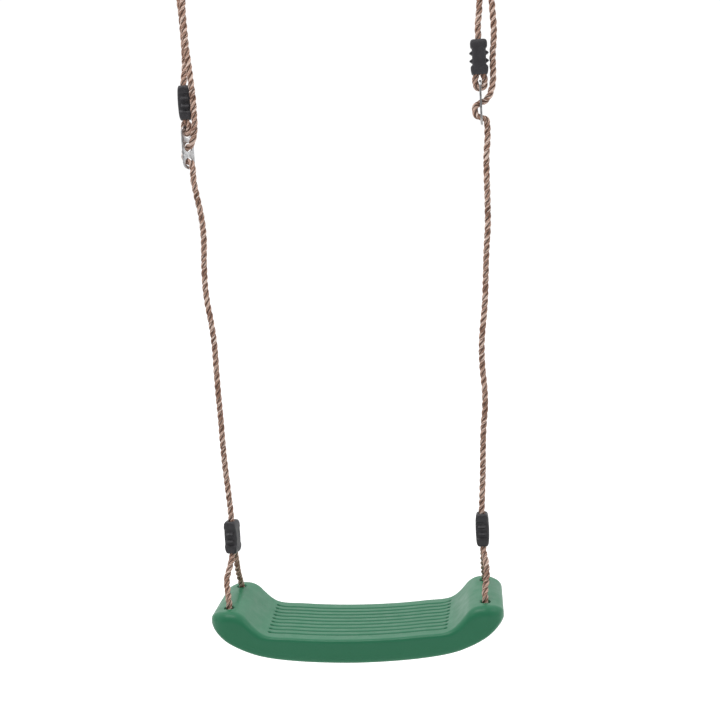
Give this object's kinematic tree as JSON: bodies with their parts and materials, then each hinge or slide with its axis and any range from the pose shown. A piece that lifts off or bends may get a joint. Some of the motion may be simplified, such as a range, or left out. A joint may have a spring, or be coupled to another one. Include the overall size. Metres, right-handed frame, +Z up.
{
  "type": "swing seat",
  "caption": "Rigid moulded swing seat with a curved grooved top, hung on a pair of twisted ropes with rope clamps, plate adjusters and hanging rings.",
  "frame": {"origin": "on the hanging line through the centres of the two hanging rings, above the middle of the seat", "axes": "+X across the seat from its left rope to its right rope, +Y from the seat's front edge to its back edge, +Z up"},
  "size_m": [0.4678, 0.168, 1.0995],
  "materials": {
    "green_plastic": "semi-gloss moulded polyethylene with a fine surface grain",
    "brown_rope": "matte three-strand twisted hemp-look rope",
    "black_plastic": "matte moulded plastic",
    "galvanised_steel": "satin galvanised"
  },
  "bodies": {
    "hanging_rings": {"left_hanging_ring": "galvanised_steel", "right_hanging_ring": "galvanised_steel"},
    "upper_ropes": {"left_top_loop_rope": "brown_rope", "right_top_loop_rope": "brown_rope"},
    "left_adjuster": {"left_adjuster_plate": "galvanised_steel", "left_adjuster_weave": "brown_rope", "left_adjuster_eye": "brown_rope", "left_upper_clamp": "black_plastic"},
    "right_adjuster": {"right_adjuster_plate": "galvanised_steel", "right_adjuster_weave": "brown_rope", "right_adjuster_eye": "brown_rope", "right_upper_clamp": "black_plastic"},
    "lower_ropes": {"left_main_rope": "brown_rope", "right_main_rope": "brown_rope", "left_lower_clamp": "black_plastic", "right_lower_clamp": "black_plastic"},
    "seat": {"seat_shell": "green_plastic", "left_bridle_rope": "brown_rope", "right_bridle_rope": "brown_rope"}
  },
  "joints": [
    {"name": "swing", "type": "hinge", "parent": "hanging_rings", "child": "upper_ropes", "pos_m": [0, 0, 0], "axis": [1, 0, 0], "range_deg": [-60, 60]},
    {"name": "left_adjust", "type": "slide", "parent": "upper_ropes", "child": "left_adjuster", "axis": [0, 0, 1], "range_m": [-0.06, 0.06], "deforming": ["left_top_loop_rope", "right_top_loop_rope"]},
    {"name": "right_adjust", "type": "slide", "parent": "upper_ropes", "child": "right_adjuster", "axis": [0, 0, 1], "range_m": [-0.06, 0.06]},
    {"name": "seat_lift", "type": "slide", "parent": "left_adjuster", "child": "lower_ropes", "axis": [0, 0, 1], "range_m": [-0.12, 0.12], "deforming": ["left_main_rope", "right_main_rope"]},
    {"name": "seat_pitch", "type": "hinge", "parent": "lower_ropes", "child": "seat", "pos_m": [0, 0, -0.921], "axis": [1, 0, 0], "range_deg": [-30, 30], "deforming": ["left_bridle_rope", "right_bridle_rope"]}
  ],
  "couplings": [
    {"joint": "right_adjust", "follows": "left_adjust", "ratio": 1},
    {"joint": "seat_lift", "follows": "left_adjust", "ratio": -2}
  ]
}
